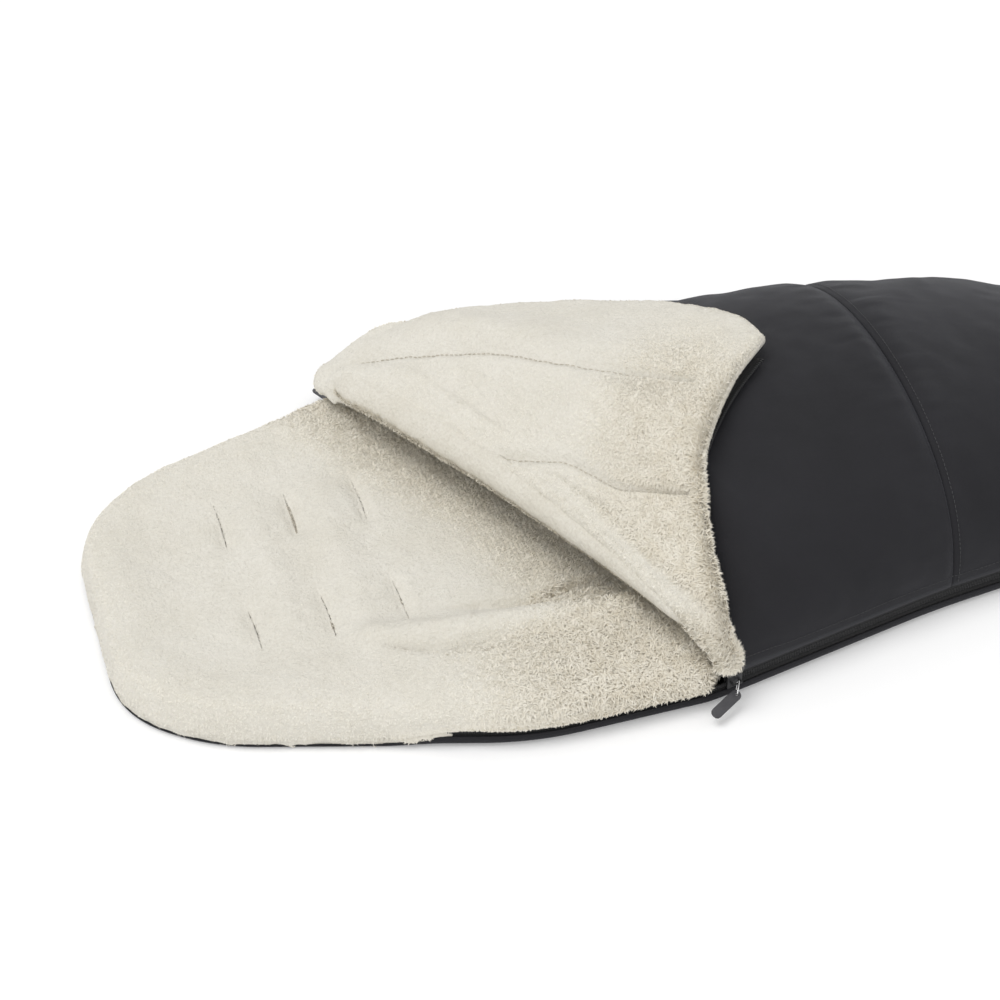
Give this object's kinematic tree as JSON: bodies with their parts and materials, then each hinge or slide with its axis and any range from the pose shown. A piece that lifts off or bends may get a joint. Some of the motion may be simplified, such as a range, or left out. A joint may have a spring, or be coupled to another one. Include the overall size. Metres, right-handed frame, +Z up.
{
  "type": "stroller footmuff",
  "caption": "Padded sack that lies in a stroller seat: fleece-lined base with harness slots and a zipped cover, folded back from one side.",
  "frame": {"origin": "centre of the bounding box, at floor height, as the footmuff lies on its back", "axes": "+X from the head end to the foot end, +Y from the unzipped side to the other, +Z up out of the bed"},
  "size_m": [0.95, 0.4957, 0.1675],
  "materials": {
    "fleece": "deep cream pile",
    "wadding": "matte",
    "shell": "smooth black weave",
    "tape": "matte woven tape",
    "teeth": "satin",
    "stitching": "dense thread",
    "silver": "bright metal",
    "grip": "matte"
  },
  "bodies": {
    "base_and_cover": {"base_lining": "fleece", "base_padding": "wadding", "base_shell": "shell", "cover_lining": "fleece", "cover_padding": "wadding", "cover_shell": "shell", "crotch_slot_binding": "stitching", "far_base_tape": "tape", "far_base_teeth": "teeth", "far_bottom_stop": "silver", "far_cover_tape": "tape", "far_cover_teeth": "teeth", "far_slot_binding_1": "stitching", "far_slot_binding_2": "stitching", "far_slot_binding_3": "stitching", "far_top_stop": "silver", "fold_lining": "fleece", "fold_padding": "wadding", "foot_lining": "fleece", "foot_padding": "wadding", "foot_shell": "shell", "near_base_tape": "tape", "near_base_teeth": "teeth", "near_bottom_stop": "silver", "near_cover_tape": "tape", "near_cover_teeth": "teeth", "near_slot_binding_1": "stitching", "near_slot_binding_2": "stitching", "near_slot_binding_3": "stitching", "near_top_stop": "silver", "toe_band": "shell"},
    "flap": {"flap_lining": "fleece", "flap_padding": "wadding", "flap_shell": "shell", "flap_tape": "tape", "flap_teeth": "teeth"},
    "near_slider": {"near_slider": "silver"},
    "near_link": {"near_link": "silver"},
    "near_grip": {"near_grip": "grip"},
    "far_slider": {"far_slider": "silver"},
    "far_link": {"far_link": "silver"},
    "far_grip": {"far_grip": "grip"}
  },
  "joints": [
    {"name": "flap_hinge", "type": "hinge", "parent": "base_and_cover", "child": "flap", "pos_m": [-0.015, -0.222, 0.05], "axis": [0.4472, -0.8944, 0], "range_deg": [0, 90], "deforming": ["fold_lining", "fold_padding"]},
    {"name": "near_slide", "type": "slide", "parent": "base_and_cover", "child": "near_slider", "axis": [0.9817, 0.1903, 0], "range_m": [0, 0.15], "deforming": ["near_base_teeth", "near_cover_teeth", "near_base_tape", "near_cover_tape"]},
    {"name": "near_link_hinge", "type": "hinge", "parent": "near_slider", "child": "near_link", "pos_m": [-0.00777, -0.22436, 0.0185], "axis": [0.9817, 0.1903, 0], "range_deg": [-60, 25]},
    {"name": "near_grip_hinge", "type": "hinge", "parent": "near_link", "child": "near_grip", "pos_m": [-0.01171, -0.23177, 0.01473], "axis": [-0.0952, 0.4909, -0.866], "range_deg": [-100, 50]},
    {"name": "far_slide", "type": "slide", "parent": "base_and_cover", "child": "far_slider", "axis": [0.9579, 0.2872, 0], "range_m": [0, 0.012], "deforming": ["far_base_teeth", "far_cover_teeth", "far_base_tape", "far_cover_tape"]},
    {"name": "far_link_hinge", "type": "hinge", "parent": "far_slider", "child": "far_link", "pos_m": [-0.21996, 0.21448, 0.0185], "axis": [-0.9579, -0.2872, 0], "range_deg": [-60, 12]},
    {"name": "far_grip_hinge", "type": "hinge", "parent": "far_link", "child": "far_grip", "pos_m": [-0.22255, 0.2231, 0.01659], "axis": [0.0597, -0.1991, -0.9781], "range_deg": [-90, 90]}
  ]
}
